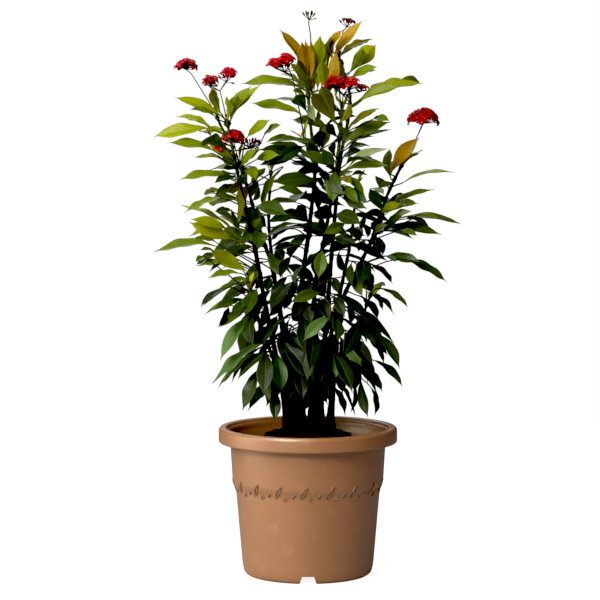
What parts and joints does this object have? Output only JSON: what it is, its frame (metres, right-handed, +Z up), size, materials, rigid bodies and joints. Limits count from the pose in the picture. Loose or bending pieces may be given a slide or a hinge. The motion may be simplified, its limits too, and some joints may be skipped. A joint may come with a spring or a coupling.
{
  "type": "potted jatropha",
  "caption": "Round moulded plastic pot filled with soil, holding a many-stemmed shrub with narrow pointed leaves and loose heads of small red flowers.",
  "frame": {"origin": "on the ground under the middle of the pot's round foot, which is also under the middle of the whole plant", "axes": "+Z up along the pot's axis; -Y towards the viewer of the picture; +X to the viewer's right"},
  "size_m": [0.5979, 0.4345, 1.1004],
  "materials": {
    "pot": "satin",
    "soil": "matte",
    "foliage": "satin",
    "petals": "matte",
    "buds": "matte"
  },
  "bodies": {
    "root": {"pot": "pot", "soil": "soil", "stem_left": "foliage", "stem_left_inner": "foliage", "stem_centre": "foliage", "stem_centre_right": "foliage", "stem_right_tall": "foliage", "stem_right": "foliage", "stem_back_left": "foliage", "stem_back_right": "foliage", "bloom_left_high": "petals", "bloom_left_pair": "petals", "bloom_left": "petals", "bloom_top_left": "petals", "bloom_centre": "petals", "bloom_right": "petals", "buds_top": "buds", "buds_top_right": "buds"}
  },
  "joints": []
}
